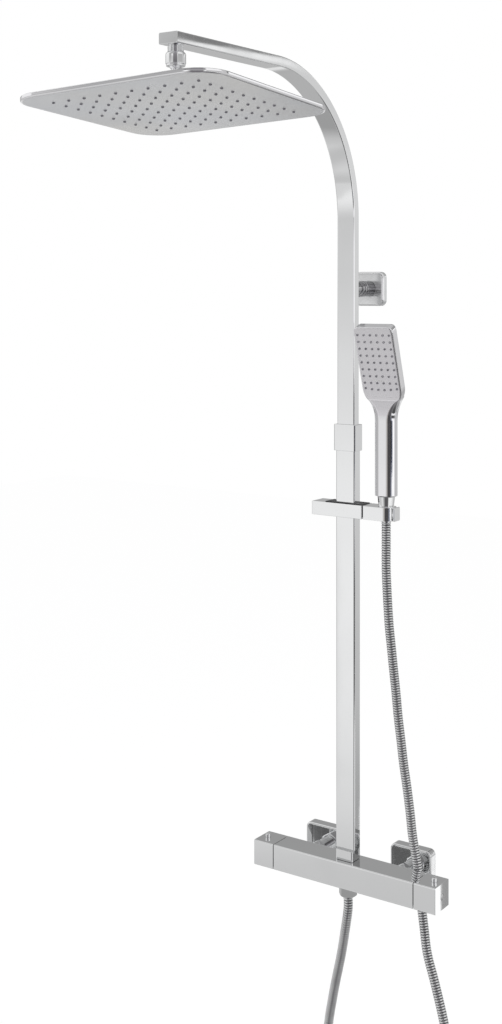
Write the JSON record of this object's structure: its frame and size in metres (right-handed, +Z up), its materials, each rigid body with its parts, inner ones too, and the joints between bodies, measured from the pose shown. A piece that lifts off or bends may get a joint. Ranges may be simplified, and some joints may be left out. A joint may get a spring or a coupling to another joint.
{
  "type": "shower column",
  "caption": "Rainfall shower column with a thermostatic bar valve, telescopic square riser, overhead arm and rain head, sliding holder, hand shower and flexible hose.",
  "frame": {"origin": "wall surface, midway between the two inlets, at inlet height", "axes": "+X to the right seen from the front, +Y into the wall, +Z up"},
  "size_m": [0.3262, 0.6591, 1.64],
  "materials": {
    "chrome": "polished",
    "plated_plastic": "chrome-plated, polished",
    "satin_plastic": "satin silver",
    "steel": "satin",
    "brass": "machined",
    "black_plastic": "matte",
    "white_plastic": "matte",
    "rubber": "matte",
    "nozzle_rubber": "matte",
    "hose": "ribbed, chrome-coloured"
  },
  "bodies": {
    "valve": {"valve_body": "chrome", "thermostatic_cartridge": "brass", "diverter_cartridge": "brass", "cartridge_nuts": "brass", "stop_rings": "black_plastic", "inlet_tails": "brass", "check_valves": "white_plastic", "inlet_nuts": "chrome", "inlet_washers": "rubber", "wall_unions": "chrome", "cover_plates": "chrome", "hose_outlet": "chrome", "riser_connector": "chrome", "lower_riser": "chrome", "riser_collar": "chrome", "collar_bush": "black_plastic", "collar_grub_screw": "steel", "hose": "hose", "hose_nut_bottom": "chrome", "hose_ferrule_bottom": "chrome"},
    "temperature": {"temperature_handle": "chrome", "temperature_spindle": "brass", "temperature_screw_cap": "chrome", "temperature_button_spring": "steel"},
    "temperature_stop": {"temperature_button": "chrome"},
    "flow": {"flow_handle": "chrome", "flow_spindle": "brass", "flow_screw_cap": "chrome", "flow_button_spring": "steel"},
    "flow_stop": {"flow_button": "chrome"},
    "upper": {"upper_column": "chrome", "telescope_plug": "brass", "telescope_seals": "rubber", "arm_end_cap": "chrome", "arm_block": "brass", "arm_nipple": "chrome", "swivel_nut": "chrome", "riser_boss": "chrome", "bracket_stem": "chrome", "bracket_cover": "chrome", "bracket_wall_disc": "steel", "bracket_screw": "steel"},
    "seat": {"ball_seat": "white_plastic"},
    "ball": {"swivel_ball": "chrome"},
    "rain_head": {"head_back_shell": "plated_plastic", "head_face_plate": "satin_plastic", "head_nozzle_mat": "nozzle_rubber"},
    "slider": {"slider_body": "chrome", "slider_bush": "black_plastic", "slider_brake": "black_plastic", "cradle_pivot": "steel", "hose_bend": "hose"},
    "holder": {"cradle": "chrome", "hose_lead": "hose"},
    "knob": {"cradle_knob": "chrome"},
    "hose_end": {"hose_ferrule_top": "chrome"},
    "handset": {"handset_shell": "plated_plastic", "handset_face": "satin_plastic", "handset_nozzles": "nozzle_rubber", "hose_nut_top": "chrome"}
  },
  "joints": [
    {"name": "temperature_turn", "type": "hinge", "parent": "valve", "child": "temperature", "pos_m": [0.138, -0.071, 0], "axis": [1, 0, 0], "range_deg": [-150, 40]},
    {"name": "temperature_press", "type": "slide", "parent": "temperature", "child": "temperature_stop", "axis": [0, 0, -1], "range_m": [0, 0.002], "stiffness_N_per_m": 400, "springref_m": -0.002, "deforming": ["temperature_button_spring"]},
    {"name": "flow_turn", "type": "hinge", "parent": "valve", "child": "flow", "pos_m": [-0.138, -0.071, 0], "axis": [1, 0, 0], "range_deg": [-90, 90]},
    {"name": "flow_press", "type": "slide", "parent": "flow", "child": "flow_stop", "axis": [0, 0, -1], "range_m": [0, 0.002], "stiffness_N_per_m": 400, "springref_m": -0.002, "deforming": ["flow_button_spring"]},
    {"name": "column_height", "type": "slide", "parent": "valve", "child": "upper", "axis": [0, 0, 1], "range_m": [-0.15, 0.1]},
    {"name": "head_swivel", "type": "hinge", "parent": "upper", "child": "seat", "pos_m": [0, -0.489, 1.151], "axis": [0, 0, 1], "range_deg": [-180, 180]},
    {"name": "head_tilt", "type": "hinge", "parent": "seat", "child": "ball", "pos_m": [0, -0.489, 1.151], "axis": [1, 0, 0], "range_deg": [-15, 15]},
    {"name": "head_turn", "type": "hinge", "parent": "ball", "child": "rain_head", "pos_m": [0, -0.489, 1.151], "axis": [-0.0522, 0.0593, 0.9969], "range_deg": [-180, 180]},
    {"name": "slider_slide", "type": "slide", "parent": "valve", "child": "slider", "axis": [0, 0, 1], "range_m": [-0.45, 0.07], "deforming": ["hose"]},
    {"name": "cradle_tilt", "type": "hinge", "parent": "slider", "child": "holder", "pos_m": [0.05, -0.071, 0.54], "axis": [1, 0, 0], "range_deg": [-10, 35], "deforming": ["hose_bend"]},
    {"name": "knob_turn", "type": "hinge", "parent": "holder", "child": "knob", "pos_m": [0.082, -0.071, 0.54], "axis": [1, 0, 0], "range_deg": [-90, 90]},
    {"name": "handset_lift", "type": "slide", "parent": "holder", "child": "hose_end", "axis": [0, 0, 1], "range_m": [0, 0.04], "deforming": ["hose_lead"]},
    {"name": "handset_turn", "type": "hinge", "parent": "hose_end", "child": "handset", "pos_m": [0.065, -0.071, 0.56], "axis": [0, 0, 1], "range_deg": [-30, 90]}
  ]
}
